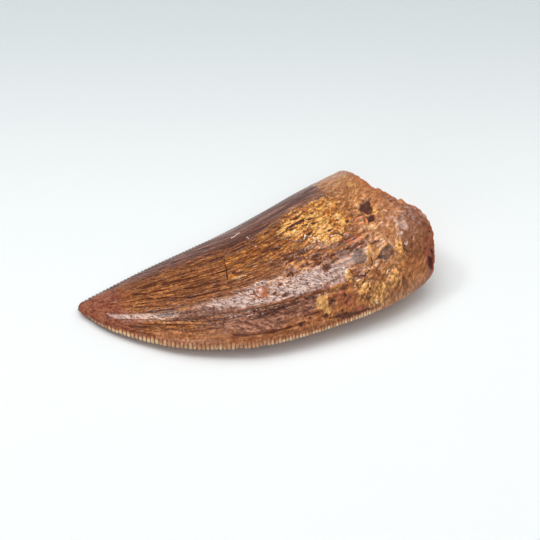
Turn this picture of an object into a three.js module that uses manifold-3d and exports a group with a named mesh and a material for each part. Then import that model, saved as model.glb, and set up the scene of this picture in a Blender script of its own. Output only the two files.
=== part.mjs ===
// A fossil theropod tooth: one curved, flattened crown with a saw-edged keel front and back,
// broken off at the root and lying on its left flank.
//
// Millimetres, +Z up. The tip points to -X and the broken root to +X. The front (mesial) keel
// bulges towards -Y and the back (distal) keel runs along +Y. The origin is at the middle of the
// footprint, on the surface that the tooth rests on.
//
// The skin is a loft. A station s runs from 0 at the tip to about 1 at the root, and an angle phi
// runs round the section: 0 on the front keel, 90 on the middle of the flank, 180 on the back keel.

import * as THREE from 'three';
import { mergeVertices } from 'three/addons/utils/BufferGeometryUtils.js';
import Module from 'manifold-3d';

// --- Driving dimensions ---------------------------------------------------------------------

// The two keels, seen from above, from the tip to just past the break.
const FRONT_KEEL = [
  [-24.7, 11.8], [-24.15, 9.5], [-22.7, 5.95], [-19.95, 1.8], [-16.05, -2.7], [-11.4, -6.3],
  [-6.35, -9.15], [-0.7, -10.95], [5.35, -12.15], [11.6, -13.0], [17.4, -12.9], [24.7, -11.6],
];
const BACK_KEEL = [
  [-24.7, 11.8], [-23.6, 12.8], [-20.3, 13.1], [-13.4, 13.4], [-6.7, 13.2], [0.3, 12.95],
  [7.4, 13.15], [15.0, 13.6], [24.7, 13.4],
];
const BACK_LEAD = 0.22; // the back keel runs ahead of the front one, which slants the growth lines

const UPPER_BULGE = 7.0; // height of the upper flank above the keels, at the root
const UPPER_SWELL = 1.9; // how soon the upper flank reaches that height
const LOWER_BULGE = 3.9; // depth of the lower flank below the keels, at the root
const LOWER_BULGE_TIP = 0.5; // the same at the tip
const TIP_ROUNDING = 0.03; // share of the length over which the tip is blunt
const TIP_LIFT = 0.7; // height that the tip curls up off the surface
const TIP_LIFT_REACH = 0.25; // share of the length that curls up
const FLAT_DEPTH = 0.2; // depth that is worn flat along the lower flank, which the tooth lies on
const KEEL_SHARPNESS = [1.75, 1.4]; // exponent of the section at the tip and at the root
const UPPER_SKEW = -0.2; // the crest of the upper flank lies this far towards the front keel
const LOWER_SKEW = -0.08;

// How far along the crown the broken root reaches, at each angle round either flank.
const UPPER_BREAK = [
  [0, 0.9], [3, 0.925], [8, 0.949], [15, 0.961], [30, 0.973], [45, 0.989], [60, 1.0],
  [75, 0.995], [90, 0.96], [105, 0.941], [135, 0.927], [165, 0.928], [180, 0.938],
];
const LOWER_BREAK = [[0, 0.9], [15, 0.94], [60, 0.97], [100, 0.965], [140, 0.945], [180, 0.938]];
const BREAK_RAGGEDNESS = 0.004; // share of the length by which the rim is ragged
const BREAK_TEETH = 11; // how closely its ragged points stand
const BREAK_HOLLOW = 1.5; // depth of the dish in the broken face
const BREAK_LUMPS = 0.35; // height of the lumps in that dish
const BREAK_RINGS = [0.86, 0.66, 0.4, 0.18]; // rings between the rim and the middle of the dish

// Denticles: the slots that part them, cut square to the keel.
const DENTICLE_PITCH = [0.64, 0.42]; // towards the tip and towards the root
const PITCH_NARROWS = [0.3, 0.8]; // shares of the length between which it goes from one to the other
const SLOT_DEPTH = 0.42;
const SLOT_WIDTH = 0.5; // share of the pitch
const SLOT_OVERSHOOT = 0.35; // how far the cut starts outside the keel
const SLOT_HEIGHT = 3.2;
const FRONT_SERRATION = [0.06, 0.8]; // shares of the front keel between which it is serrated
const BACK_SERRATION = [0.05, 0.9];

// Lumps, pits and scars of the upper flank: place, half-length, half-width and height.
const MARKS = [
  { name: 'chip scar', s: 0.513, v: -0.43, length: 1.2, width: 1.0, height: -0.35 },
  { name: 'root pit', s: 0.867, v: 0.0, length: 0.9, width: 0.9, height: -0.6 },
  { name: 'small root pit', s: 0.857, v: -0.17, length: 0.6, width: 0.6, height: -0.3 },
  { name: 'ring boss', s: 0.835, v: -0.2, length: 1.0, width: 0.8, height: 0.25 },
  { name: 'furrow', s: 0.7, v: 0.42, length: 3.2, width: 0.8, height: -0.28 },
  { name: 'flaked hollow', s: 0.72, v: 0.15, length: 3.0, width: 2.2, height: -0.25 },
  { name: 'front hollow', s: 0.7, v: -0.82, length: 2.6, width: 0.9, height: -0.25 },
  { name: 'grey patch', s: 0.84, v: -0.71, length: 1.5, width: 0.9, height: 0.22 },
  { name: 'root swelling', s: 0.93, v: 0.55, length: 2.2, width: 3.5, height: 0.3 },
  { name: 'root dimple', s: 0.9, v: -0.45, length: 1.4, width: 1.6, height: -0.3 },
];
const LEDGE_HEIGHT = 0.3; // the crown drops by this much along a ledge on the front half
const LEDGE_WIDTH = 0.07; // share of the width over which it drops
const LEDGE_FROM = { s: 0.42, v: -0.56 };
const LEDGE_TO = { s: 0.76, v: -0.74 };
const WRINKLE_HEIGHT = 0.09; // shallow wrinkles that run along both flanks

// Fineness of the facets.
const STATIONS = 48;
const STATION_CROWDING = 1.25; // above 1 the stations crowd towards the tip
const UPPER_STEPS = 22;
const LOWER_STEPS = 12;
const KEEL_SPACING = 0.6; // how much wider the steps round the section are next to the keels

const ENAMEL = { color: 0xa5693c, roughness: 0.45, metalness: 0.0 };

// --- Helpers --------------------------------------------------------------------------------

const { lerp, clamp, smoothstep, degToRad, radToDeg } = THREE.MathUtils;

const gauss = (x) => Math.exp(-x * x);

function keelCurve(points) {
  return new THREE.SplineCurve(points.map(([x, y]) => new THREE.Vector2(x, y)));
}

const frontKeel = keelCurve(FRONT_KEEL);
const backKeel = keelCurve(BACK_KEEL);
const CROWN_LENGTH = backKeel.getLength();

function backShare(s) {
  return Math.min(s + BACK_LEAD * s * (1 - s), 1);
}

// Place on the line between a table's rows, for a table of [place, value] rows.
function alongTable(table, place) {
  const next = table.findIndex(([p]) => p >= place);
  if (next <= 0) return table[0][1];
  const [p0, v0] = table[next - 1];
  const [p1, v1] = table[next];
  return lerp(v0, v1, (place - p0) / (p1 - p0));
}

// --- Section --------------------------------------------------------------------------------

// Place across the tooth: -1 on the front keel, 1 on the back keel.
function across(phi, upper) {
  const skew = upper ? UPPER_SKEW : LOWER_SKEW;
  return -Math.cos(phi) + skew * Math.sin(phi) ** 2;
}

function upperBulge(s) {
  return UPPER_BULGE * (1 - Math.exp(-UPPER_SWELL * s)) / (1 - Math.exp(-UPPER_SWELL));
}

function lowerBulge(s) {
  return lerp(LOWER_BULGE_TIP, LOWER_BULGE, s ** 0.8);
}

// Height of both keels above the surface that the tooth lies on.
function keelHeight(s) {
  const curl = TIP_LIFT * clamp(1 - s / TIP_LIFT_REACH, 0, 1) ** 2;
  return lowerBulge(s) + curl - FLAT_DEPTH;
}

function ledge(s, v) {
  const t = (s - LEDGE_FROM.s) / (LEDGE_TO.s - LEDGE_FROM.s);
  const line = lerp(LEDGE_FROM.v, LEDGE_TO.v, t);
  const fade = smoothstep(t, -0.2, 0.2) * (1 - smoothstep(t, 0.8, 1.2));
  return LEDGE_HEIGHT * fade * (smoothstep(v, line - LEDGE_WIDTH, line + LEDGE_WIDTH) - 0.5);
}

function wrinkles(s, v, phase) {
  return WRINKLE_HEIGHT * Math.sin(17 * v + 3 * s + phase) * Math.sin(11 * s + 5 * v + 2 * phase);
}

function upperRelief(s, v, width) {
  let height = ledge(s, v) + wrinkles(s, v, 0.7);
  for (const mark of MARKS) {
    const along = (s - mark.s) * CROWN_LENGTH / mark.length;
    const sideways = (v - mark.v) * width / 2 / mark.width;
    height += mark.height * gauss(along) * gauss(sideways);
  }
  return height;
}

// A point of the skin.
function skinPoint(s, phi, upper) {
  const v = across(phi, upper);
  const front = frontKeel.getPointAt(Math.min(s, 1));
  const back = backKeel.getPointAt(backShare(s));
  const place = front.clone().lerp(back, (1 + v) / 2);
  const blunt = Math.sqrt(clamp(s / TIP_ROUNDING, 0, 1));
  const lens = blunt * Math.sin(phi) ** lerp(KEEL_SHARPNESS[0], KEEL_SHARPNESS[1], s);
  const width = front.distanceTo(back);
  let z = keelHeight(s);
  if (upper) {
    z += lens * (upperBulge(s) + upperRelief(s, v, width));
  } else {
    z = Math.max(z - lens * (lowerBulge(s) + wrinkles(s, v, 2.1)), 0);
  }
  return new THREE.Vector3(place.x, place.y, z);
}

// --- Skin -----------------------------------------------------------------------------------

// Angle at a share t of the way from the front keel to the back one.
function spacedAngle(t) {
  return Math.PI * t + KEEL_SPACING * Math.sin(2 * Math.PI * t) / 2;
}

// Angles once round the section: over the upper flank, then back under the lower one.
function ringAngles() {
  const ring = [];
  for (let i = 0; i < UPPER_STEPS; i++) {
    ring.push({ phi: spacedAngle(i / UPPER_STEPS), upper: true });
  }
  for (let i = 0; i < LOWER_STEPS; i++) {
    ring.push({ phi: spacedAngle(1 - i / LOWER_STEPS), upper: false });
  }
  return ring;
}

function breakStation({ phi, upper }) {
  const ragged = BREAK_RAGGEDNESS * Math.sin(phi) * Math.sin(BREAK_TEETH * phi + 1.3);
  return alongTable(upper ? UPPER_BREAK : LOWER_BREAK, radToDeg(phi)) + ragged;
}

// The dish of the broken face, ring by ring towards its middle.
function breakRings(rim) {
  const middle = new THREE.Vector3();
  for (const point of rim) {
    middle.addScaledVector(point, 1 / rim.length);
  }
  const dished = (point, share, turn) => {
    const inner = middle.clone().lerp(point, share);
    const lumps = BREAK_LUMPS * Math.sin(3 * turn + 9 * share) * Math.cos(2 * turn - 4 * share);
    inner.x += (share * share - 1) * BREAK_HOLLOW + share * (1 - share) * 4 * lumps;
    return inner;
  };
  const rings = BREAK_RINGS.map((share) => (
    rim.map((point, i) => dished(point, share, 2 * Math.PI * i / rim.length))
  ));
  return { rings, middle: dished(middle, 0, 0) };
}

function crownGeometry() {
  const ring = ringAngles();
  const rows = [];
  for (let i = 1; i <= STATIONS; i++) {
    const share = (i / STATIONS) ** STATION_CROWDING;
    rows.push(ring.map((at) => skinPoint(share * breakStation(at), at.phi, at.upper)));
  }
  const { rings, middle } = breakRings(rows.at(-1));
  rows.push(...rings);

  const points = [skinPoint(0, 0, true), ...rows.flat(), middle];
  const count = ring.length;
  const at = (row, i) => 1 + row * count + (i % count);
  const faces = [];
  for (let i = 0; i < count; i++) {
    faces.push(0, at(0, i), at(0, i + 1));
    for (let row = 0; row < rows.length - 1; row++) {
      faces.push(at(row, i), at(row + 1, i), at(row + 1, i + 1));
      faces.push(at(row, i), at(row + 1, i + 1), at(row, i + 1));
    }
    faces.push(at(rows.length - 1, i), points.length - 1, at(rows.length - 1, i + 1));
  }
  const geometry = new THREE.BufferGeometry().setFromPoints(points);
  geometry.setIndex(faces);
  return geometry;
}

// --- Denticles ------------------------------------------------------------------------------

// A three-cornered post that stands across the keel with one corner pointing into the tooth.
function slotGeometry(place, inward, height, pitch) {
  const reach = SLOT_DEPTH + SLOT_OVERSHOOT; // from that corner to the side outside the tooth
  const halfWidth = SLOT_WIDTH * pitch / 2 * reach / SLOT_DEPTH;
  const post = new THREE.CylinderGeometry(1, 1, SLOT_HEIGHT, 3);
  post.rotateX(Math.PI / 2).rotateZ(Math.PI / 2).translate(-1, 0, 0);
  post.scale(reach / 1.5, halfWidth / Math.sin(Math.PI / 3), 1);
  post.rotateZ(Math.atan2(inward.y, inward.x));
  const root = place.clone().addScaledVector(inward, SLOT_DEPTH);
  return post.translate(root.x, root.y, height);
}

function slotsAlong(keel, [from, to], isFront) {
  const slots = [];
  const length = keel.getLength();
  let share = from;
  while (share < to) {
    const place = keel.getPointAt(share);
    const along = keel.getTangentAt(share);
    const inward = new THREE.Vector2(-along.y, along.x).multiplyScalar(isFront ? 1 : -1);
    const pitch = lerp(...DENTICLE_PITCH, smoothstep(share, ...PITCH_NARROWS));
    slots.push(slotGeometry(place, inward, keelHeight(share), pitch));
    share += pitch / length;
  }
  return slots;
}

// --- Joining and cutting --------------------------------------------------------------------

const wasm = await Module();
wasm.setup();

function toSolid(source) {
  const bare = source.clone();
  bare.deleteAttribute('normal');
  bare.deleteAttribute('uv');
  const geometry = mergeVertices(bare, 1e-5);
  return new wasm.Manifold(new wasm.Mesh({
    numProp: 3,
    vertProperties: new Float32Array(geometry.attributes.position.array),
    triVerts: new Uint32Array(geometry.index.array),
  }));
}

function toGeometry(solid) {
  const { vertProperties, triVerts } = solid.getMesh();
  const geometry = new THREE.BufferGeometry();
  geometry.setAttribute('position', new THREE.BufferAttribute(vertProperties, 3));
  geometry.setIndex(new THREE.BufferAttribute(triVerts, 1));
  geometry.computeVertexNormals();
  return geometry;
}

function toothGeometry() {
  const slots = [
    ...slotsAlong(frontKeel, FRONT_SERRATION, true),
    ...slotsAlong(backKeel, BACK_SERRATION, false),
  ];
  const crown = toSolid(crownGeometry());
  return toGeometry(crown.subtract(wasm.Manifold.union(slots.map(toSolid))));
}

// --- Model ----------------------------------------------------------------------------------

const tooth = new THREE.Mesh(toothGeometry(), new THREE.MeshStandardMaterial(ENAMEL));
tooth.name = 'tooth';

const group = new THREE.Group();
group.add(tooth);

export default group;
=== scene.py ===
"""Looks of the fossil theropod tooth: its fine relief, its coloured enamel, and the studio.

The skin is the same loft as the solid. A station s runs from 0 at the tip to about 1 at the
broken root, and v runs across the flank from about -1 on the front keel to 1 on the back keel.
Every mark on the tooth is placed by its s and v. Lengths of the form are in millimetres until
the mesh is made, and Blender's own units are metres. Every noise has a fixed seed.
"""

import math

import bpy
import numpy as np
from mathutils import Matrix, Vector


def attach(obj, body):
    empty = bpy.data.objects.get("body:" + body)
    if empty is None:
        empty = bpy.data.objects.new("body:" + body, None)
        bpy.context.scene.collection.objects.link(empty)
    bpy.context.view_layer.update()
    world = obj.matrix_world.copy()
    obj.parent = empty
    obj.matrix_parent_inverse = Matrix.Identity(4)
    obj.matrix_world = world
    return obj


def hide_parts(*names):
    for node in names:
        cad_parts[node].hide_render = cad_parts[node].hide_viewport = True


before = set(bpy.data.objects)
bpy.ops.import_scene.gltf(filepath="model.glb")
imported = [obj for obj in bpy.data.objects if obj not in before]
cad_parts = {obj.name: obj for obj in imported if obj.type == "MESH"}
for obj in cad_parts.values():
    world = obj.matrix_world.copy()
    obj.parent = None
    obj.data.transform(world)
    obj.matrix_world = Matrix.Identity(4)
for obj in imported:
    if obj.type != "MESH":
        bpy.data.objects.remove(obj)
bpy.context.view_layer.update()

MM = 0.001

# --- Form -----------------------------------------------------------------------------------

# The keels and the bulges are the solid's own. The break is more finely drawn than the solid's.
FRONT_KEEL = [
    (-24.7, 11.8), (-24.15, 9.5), (-22.7, 5.95), (-19.95, 1.8), (-16.05, -2.7), (-11.4, -6.3),
    (-6.35, -9.15), (-0.7, -10.95), (5.35, -12.15), (11.6, -13.0), (17.4, -12.9), (24.7, -11.6),
]
BACK_KEEL = [
    (-24.7, 11.8), (-23.6, 12.8), (-20.3, 13.1), (-13.4, 13.4), (-6.7, 13.2), (0.3, 12.95),
    (7.4, 13.15), (15.0, 13.6), (24.7, 13.4),
]
BACK_LEAD = 0.22  # the back keel runs ahead of the front one
UPPER_BULGE = 7.0
UPPER_SWELL = 1.9  # how soon the upper flank reaches its height
LOWER_BULGE = 3.9
LOWER_BULGE_TIP = 0.5
TIP_ROUNDING = 0.03
TIP_LIFT = 0.7
TIP_LIFT_REACH = 0.25
FLAT_DEPTH = 0.2  # depth worn flat along the lower flank
KEEL_SHARPNESS = (1.75, 1.4)  # at the tip and at the root
UPPER_SKEW = -0.2
LOWER_SKEW = -0.08

# How far along the crown the broken root reaches, by angle round either flank in degrees.
UPPER_BREAK = [
    (0, 0.9), (3, 0.925), (8, 0.949), (15, 0.961), (30, 0.973), (45, 0.989), (60, 1.0),
    (75, 0.995), (88, 0.973), (91.0, 0.969), (91.8, 0.958), (104, 0.944), (109.2, 0.942),
    (110.2, 0.931), (120, 0.928), (135, 0.924), (165, 0.921), (180, 0.93),
]
LOWER_BREAK = [(0, 0.9), (15, 0.94), (60, 0.97), (100, 0.965), (140, 0.945), (180, 0.938)]
BREAK_BLEND = 0.82  # rows beyond this station are drawn in or out to meet the break
BREAK_HOLLOW = 1.5  # depth of the dish in the broken face

DENTICLE_PITCH = (0.64, 0.42)  # towards the tip and towards the root
PITCH_NARROWS = (0.3, 0.8)  # stations between which it goes from one to the other
SLOT_DEPTH = 0.36
SERRATION = (0.045, 0.8)  # stations between which the keels are serrated

# Fineness of the mesh.
ROWS_PER_DENTICLE = (0.0, 0.14, 0.36, 0.64, 0.86)  # places of the rows in one pitch
TIP_STEPS = 11
ROOT_ROW_STEP = 0.17
ROWS_PAST_SERRATION = 0.08  # how far beyond the last denticle the rows keep its pitch
UPPER_COLUMNS = 140
LOWER_COLUMNS = 42
KEEL_SPACING = 0.3  # share by which the steps of angle at the keels exceed the mean one
BREAK_RINGS = (0.985, 0.95, 0.9, 0.84, 0.77, 0.69, 0.6, 0.5, 0.4, 0.3, 0.2, 0.1)

CROWN_LENGTH = 55.0  # middle length of the crown, for laying out marks
CROWN_HALF_WIDTH = 12.0
LOWER_SHIFT = 50.0  # keeps the noises of the lower flank apart from those of the upper
BROKEN_SHIFT = 200.0  # the same for the broken face
V_INSET = 0.015  # along mid-length, the v of the marks is -1 plus twice this at the front keel


# --- Small numeric helpers ------------------------------------------------------------------


def smooth(low, high, x):
    """0 below low, 1 above high, and an S-curve between."""
    t = np.clip((x - low) / (high - low), 0.0, 1.0)
    return t * t * (3.0 - 2.0 * t)


def hashed(ix, iy, seed):
    """A fixed pseudo-random number in 0..1 for each whole-number place."""
    h = (ix.astype(np.int64) * 374761393 + iy.astype(np.int64) * 668265263 + seed * 144269) & 0xFFFFFFFF
    h = ((h ^ (h >> 13)) * 1274126177) & 0xFFFFFFFF
    return ((h ^ (h >> 16)) & 0xFFFFFF) / float(0xFFFFFF)


def noise(x, y, seed):
    """Smooth noise in -1..1 with features about one unit across."""
    ix, iy = np.floor(x), np.floor(y)
    fx, fy = x - ix, y - iy
    fx, fy = fx * fx * (3 - 2 * fx), fy * fy * (3 - 2 * fy)
    low = hashed(ix, iy, seed) * (1 - fx) + hashed(ix + 1, iy, seed) * fx
    high = hashed(ix, iy + 1, seed) * (1 - fx) + hashed(ix + 1, iy + 1, seed) * fx
    return 2.0 * (low * (1 - fy) + high * fy) - 1.0


def fractal(x, y, seed, octaves=4):
    """Noise with finer and weaker noises added to it."""
    total = np.zeros_like(x)
    for octave in range(octaves):
        total += noise(x * 2.03 ** octave, y * 2.03 ** octave, seed + octave) * 0.5 ** octave
    return total / (2.0 - 0.5 ** (octaves - 1))


def cells(x, y, seed):
    """Points scattered one to a unit cell: distances to the two nearest, and a number of the first."""
    ix, iy = np.floor(x), np.floor(y)
    first = np.full(x.shape, 9.0)
    second = np.full(x.shape, 9.0)
    number = np.zeros(x.shape)
    for dx in (-1, 0, 1):
        for dy in (-1, 0, 1):
            cx, cy = ix + dx, iy + dy
            d = np.hypot(x - cx - hashed(cx, cy, seed), y - cy - hashed(cx, cy, seed + 1))
            number = np.where(d < first, hashed(cx, cy, seed + 2), number)
            second = np.where(d < first, first, np.minimum(second, d))
            first = np.minimum(first, d)
    return first, second, number


def spline(points, steps=40):
    """A Catmull-Rom curve: places on it, the share of its length up to each, and its length."""
    pts = np.array([points[0], *points, points[-1]], float)
    t = np.linspace(0, 1, steps, endpoint=False)[:, None]
    runs = []
    for p0, p1, p2, p3 in zip(pts, pts[1:], pts[2:], pts[3:]):
        v0, v1 = (p2 - p0) / 2, (p3 - p1) / 2
        cubic = (2 * p1 - 2 * p2 + v0 + v1) * t ** 3
        runs.append(cubic + (-3 * p1 + 3 * p2 - 2 * v0 - v1) * t ** 2 + v0 * t + p1)
    curve = np.vstack([*runs, pts[-1:]])
    length = np.r_[0, np.cumsum(np.hypot(*np.diff(curve, axis=0).T))]
    return curve, length / length[-1], length[-1]


def on_curve(curve, share):
    """The place at a share of the curve's length."""
    places, shares, _ = curve
    return np.stack([np.interp(share, shares, places[:, k]) for k in (0, 1)], axis=-1)


FRONT_CURVE = spline(FRONT_KEEL)
BACK_CURVE = spline(BACK_KEEL)


# --- Section --------------------------------------------------------------------------------


def across(phi, upper):
    """How far across the flank the angle phi lies, from -1 to 1."""
    return -np.cos(phi) + np.where(upper, UPPER_SKEW, LOWER_SKEW) * np.sin(phi) ** 2


def lower_bulge(s):
    """Depth of the lower flank below the keels."""
    return LOWER_BULGE_TIP + (LOWER_BULGE - LOWER_BULGE_TIP) * np.clip(s, 0, 1.2) ** 0.8


def skin(s, phi, upper, inset=0.0):
    """Places on the skin, and the width there. inset moves them in from the nearer keel."""
    front = on_curve(FRONT_CURVE, np.minimum(s, 1.0))
    back = on_curve(BACK_CURVE, np.minimum(s + BACK_LEAD * s * (1 - s), 1.0))
    width = np.linalg.norm(back - front, axis=-1)
    v = across(phi, upper)
    share = (1 + v) / 2 + inset * np.where(v < 0, 1, -1) / np.maximum(width, 1.0)
    plan = front + (back - front) * share[..., None]
    blunt = np.sqrt(np.clip(s / TIP_ROUNDING, 0, 1))
    power = KEEL_SHARPNESS[0] + (KEEL_SHARPNESS[1] - KEEL_SHARPNESS[0]) * np.clip(s, 0, 1)
    lens = blunt * np.abs(np.sin(phi)) ** power
    bulge = UPPER_BULGE * (1 - np.exp(-UPPER_SWELL * s)) / (1 - math.exp(-UPPER_SWELL))
    keel = lower_bulge(s) + TIP_LIFT * np.clip(1 - s / TIP_LIFT_REACH, 0, 1) ** 2 - FLAT_DEPTH
    z = keel + lens * np.where(upper, bulge, -lower_bulge(s))
    return np.concatenate([plan, z[..., None]], axis=-1), width


# --- Grid -----------------------------------------------------------------------------------


def denticle_count():
    """Close stations, and how many denticles lie between the start of the serration and each."""
    fine = np.linspace(0, 1.2, 4001)
    pitch = DENTICLE_PITCH[0] + np.diff(DENTICLE_PITCH) * smooth(*PITCH_NARROWS, fine)
    count = np.cumsum(np.r_[0, np.diff(fine) * FRONT_CURVE[2] / pitch[1:]])
    return fine, count - np.interp(SERRATION[0], fine, count)


def row_stations():
    """Stations of the rows: even at the tip and the root, and in step with the denticles between."""
    fine, count = denticle_count()
    last = int(np.interp(SERRATION[1] + ROWS_PAST_SERRATION, fine, count))
    phases = (np.arange(last)[:, None] + np.array(ROWS_PER_DENTICLE)).ravel()
    middle = np.interp(phases, count, fine)
    tip = SERRATION[0] * (np.arange(1, TIP_STEPS) / TIP_STEPS) ** 1.3
    step = ROOT_ROW_STEP / CROWN_LENGTH
    root = np.arange(middle[-1] + step, 1.0, step)
    return np.r_[tip, middle, root, 1.0]


def ring_angles():
    """Angles of the columns, first those of the upper flank, and which of them are on it."""
    def spaced(count):
        t = np.linspace(0, 1, count + 1)[:-1]
        return np.pi * t + KEEL_SPACING * np.sin(2 * np.pi * t) / 2

    upper = spaced(UPPER_COLUMNS)
    lower = np.pi - spaced(LOWER_COLUMNS)
    is_upper = np.r_[np.ones(UPPER_COLUMNS, bool), np.zeros(LOWER_COLUMNS, bool)]
    return np.r_[upper, lower], is_upper


def break_station(phi, upper):
    """Station of the ragged rim at each angle."""
    degrees = np.degrees(phi)
    over = np.interp(degrees, *zip(*UPPER_BREAK))
    under = np.interp(degrees, *zip(*LOWER_BREAK))
    ragged = fractal(degrees / 6.0, np.where(upper, 0.5, 9.5), 71)
    nicks = fractal(degrees / 2.1, np.where(upper, 3.5, 12.5), 73, 2)
    return np.where(upper, over, under) + np.sin(phi) * (0.006 * ragged + 0.004 * nicks)


class Grid:
    """The stations and angles of the skin's rows and columns, and what is worked out from them."""

    def __init__(self):
        phi, upper = ring_angles()
        rows = row_stations()
        end = break_station(phi, upper)
        share = np.clip((rows - BREAK_BLEND) / (1 - BREAK_BLEND), 0, None)[:, None]
        beyond = BREAK_BLEND + share * (end[None] - BREAK_BLEND)
        self.s = np.where(rows[:, None] <= BREAK_BLEND, rows[:, None], beyond)
        self.phi = np.broadcast_to(phi, self.s.shape)
        self.upper = np.broadcast_to(upper, self.s.shape)
        plain_v = across(self.phi, self.upper)
        mid_length = smooth(0.05, 0.2, self.s) * smooth(0.92, 0.8, self.s)
        self.v = plain_v + V_INSET * mid_length * (1 - plain_v)
        self.plain, self.width = skin(self.s, self.phi, self.upper)
        self.along = self.s * CROWN_LENGTH
        shift = np.where(self.upper, 0.0, LOWER_SHIFT)
        self.across = self.v * CROWN_HALF_WIDTH + shift
        self.true_across = self.v * self.width / 2 + shift
        self.phase = np.interp(self.s, *denticle_count())
        self.from_front = (1 + plain_v) / 2 * self.width
        self.from_back = (1 - plain_v) / 2 * self.width
        self.from_break = (end[None] - self.s) * CROWN_LENGTH

    def offset(self, s, v):
        """How far every place lies from (s, v), along and across the crown, in millimetres."""
        return (self.s - s) * CROWN_LENGTH, (self.v - v) * self.width / 2


# --- Marks ----------------------------------------------------------------------------------


def blob(g, s, v, length, width, softness, rough, seed, fineness=1.6):
    """A spot with half-length and half-width in millimetres, on the upper flank."""
    x, y = g.offset(s, v)
    wobble = rough * fractal(g.along * fineness, g.true_across * fineness, seed, 3)
    r = np.hypot(x / length, y / width) + wobble
    return np.where(g.upper, 1.0 - smooth(1.0 - softness, 1.0 + softness, r), 0.0)


def path_distance(g, points):
    """Distance in millimetres from a line through (s, v) points, and the share along it."""
    places = [(s * CROWN_LENGTH, v) for s, v in points]
    nearest = np.full(g.s.shape, 1e9)
    share = np.zeros(g.s.shape)
    half = g.width / 2
    for i, ((x0, v0), (x1, v1)) in enumerate(zip(places, places[1:])):
        dx, dy = x1 - x0, (v1 - v0) * half
        px, py = g.along - x0, (g.v - v0) * half
        t = np.clip((px * dx + py * dy) / (dx * dx + dy * dy), 0, 1)
        d = np.hypot(px - t * dx, py - t * dy)
        closer = d < nearest
        share = np.where(closer, (i + t) / (len(places) - 1), share)
        nearest = np.where(closer, d, nearest)
    return nearest, share


def stroke(g, points, width, seed, wobble):
    """A thin line that tapers at both ends, on the upper flank."""
    d, share = path_distance(g, points)
    d = np.abs(d + wobble * noise(g.along * 1.3, g.true_across * 1.3, seed))
    taper = np.sqrt(np.clip(4 * share * (1 - share), 0, 1)) * 0.7 + 0.3
    varied = width * taper * (1 + 0.4 * noise(g.along * 0.9, g.true_across * 0.9, seed + 5))
    return np.where(g.upper, 1.0 - smooth(0.4, 1.3, d / varied), 0.0)


def strokes(g, lines, first_seed, wobble):
    """At each place the strongest of the lines, each given as points, width and strength."""
    return np.maximum.reduce([
        strength * stroke(g, points, width, first_seed + i, wobble)
        for i, (points, width, strength) in enumerate(lines)
    ])


def zone(g, points, softness, ragged, seed):
    """The inside of an outline of (s, v) points, with a ragged soft edge."""
    x, y = g.along, g.v * CROWN_HALF_WIDTH
    corners = [(s * CROWN_LENGTH, v * CROWN_HALF_WIDTH) for s, v in points]
    nearest = np.full(x.shape, 1e9)
    inside = np.zeros(x.shape, bool)
    for (x0, y0), (x1, y1) in zip(corners, corners[1:] + corners[:1]):
        dx, dy = x1 - x0, y1 - y0
        t = np.clip(((x - x0) * dx + (y - y0) * dy) / (dx * dx + dy * dy), 0, 1)
        nearest = np.minimum(nearest, np.hypot(x - x0 - t * dx, y - y0 - t * dy))
        if y0 != y1:
            crossing = (y0 > y) != (y1 > y)
            inside ^= crossing & (x < x0 + (y - y0) * dx / dy)
    signed = np.where(inside, nearest, -nearest)
    signed = signed + ragged * fractal(g.along * 0.55, g.across * 1.1, seed)
    return smooth(-softness, softness, signed)


def ring(g, s, v, radius, thickness, gap_from, gap_to, seed):
    """A ring of the given radius, open between two angles in degrees."""
    x, y = g.offset(s, v)
    r = np.hypot(x, y) + 0.12 * noise(g.along * 2, g.true_across * 2, seed)
    line = 1.0 - smooth(0.5, 1.3, np.abs(r - radius) / thickness)
    angle = np.degrees(np.arctan2(y, x)) % 360
    line = np.where((angle > gap_from) & (angle < gap_to), 0.0, line)
    return np.where(g.upper, line, 0.0)


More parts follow.
